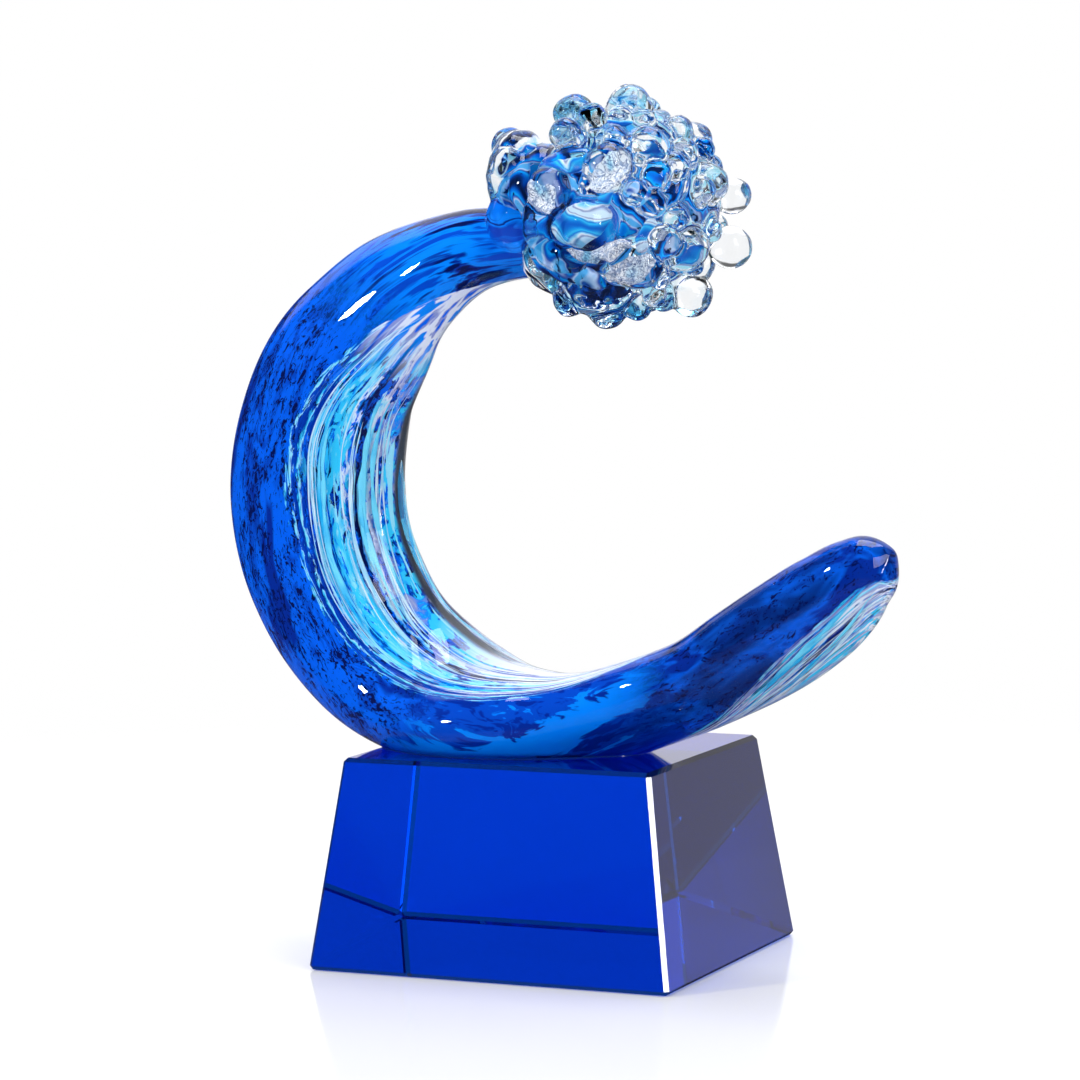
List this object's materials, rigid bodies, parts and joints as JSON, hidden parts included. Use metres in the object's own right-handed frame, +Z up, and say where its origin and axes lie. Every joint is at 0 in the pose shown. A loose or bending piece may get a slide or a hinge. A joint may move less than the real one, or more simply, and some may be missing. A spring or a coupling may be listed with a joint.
{
  "type": "glass wave sculpture",
  "caption": "Curling glass wave with a frothy beaded crest, bonded by its ground foot to a tapered blue crystal block.",
  "frame": {"origin": "centre of the block's underside, where the sculpture stands", "axes": "+Z up, +X along the block's long side towards the wave's tail, -Y towards the viewer"},
  "size_m": [0.2228, 0.1022, 0.2564],
  "materials": {
    "base_glass": "polished cobalt-blue optical crystal, bright chamfers",
    "bond_resin": "clear cured adhesive",
    "clear_glass": "fire-polished clear glass",
    "cobalt_glass": "cobalt-blue glass with darker veins",
    "white_glass": "white opal glass streaks",
    "turquoise_glass": "turquoise glass streaks",
    "bead_glass": "fire-polished clear glass with a blue tint below"
  },
  "bodies": {
    "root": {"base_block": "base_glass", "bond_film": "bond_resin", "wave_core": "cobalt_glass", "crest_casing": "clear_glass", "crest_core": "cobalt_glass", "wave_neck": "clear_glass", "wave_shoulder": "clear_glass", "wave_back": "clear_glass", "wave_belly": "clear_glass", "wave_foot": "clear_glass", "wave_tail": "clear_glass", "white_cane_1": "white_glass", "white_cane_2": "white_glass", "white_cane_3": "white_glass", "white_cane_4": "white_glass", "white_cane_5": "white_glass", "white_cane_6": "white_glass", "turquoise_cane_1": "turquoise_glass", "turquoise_cane_2": "turquoise_glass", "turquoise_cane_3": "turquoise_glass", "turquoise_cane_4": "turquoise_glass", "turquoise_cane_5": "turquoise_glass", "turquoise_cane_6": "turquoise_glass", "froth_bead_01": "bead_glass", "froth_bead_02": "bead_glass", "froth_bead_03": "bead_glass", "froth_bead_04": "bead_glass", "froth_bead_05": "bead_glass", "froth_bead_06": "bead_glass", "froth_bead_07": "bead_glass", "froth_bead_08": "bead_glass", "froth_bead_09": "bead_glass", "froth_bead_10": "bead_glass", "froth_bead_11": "bead_glass", "froth_bead_12": "bead_glass", "froth_bead_13": "bead_glass", "froth_bead_14": "bead_glass", "froth_bead_15": "bead_glass", "froth_bead_16": "bead_glass", "froth_bead_17": "bead_glass", "froth_bead_18": "bead_glass", "froth_bead_19": "bead_glass", "froth_bead_20": "bead_glass", "froth_bead_21": "bead_glass", "froth_bead_22": "bead_glass", "froth_bead_23": "bead_glass", "froth_bead_24": "bead_glass", "froth_bead_25": "bead_glass", "froth_bead_26": "bead_glass", "froth_bead_27": "bead_glass", "froth_bead_28": "bead_glass", "froth_bead_29": "bead_glass", "froth_bead_30": "bead_glass", "froth_bead_31": "bead_glass", "froth_bead_32": "bead_glass", "froth_bead_33": "bead_glass", "froth_bead_34": "bead_glass", "froth_bead_35": "bead_glass", "froth_bead_36": "bead_glass", "froth_bead_37": "bead_glass"}
  },
  "joints": []
}
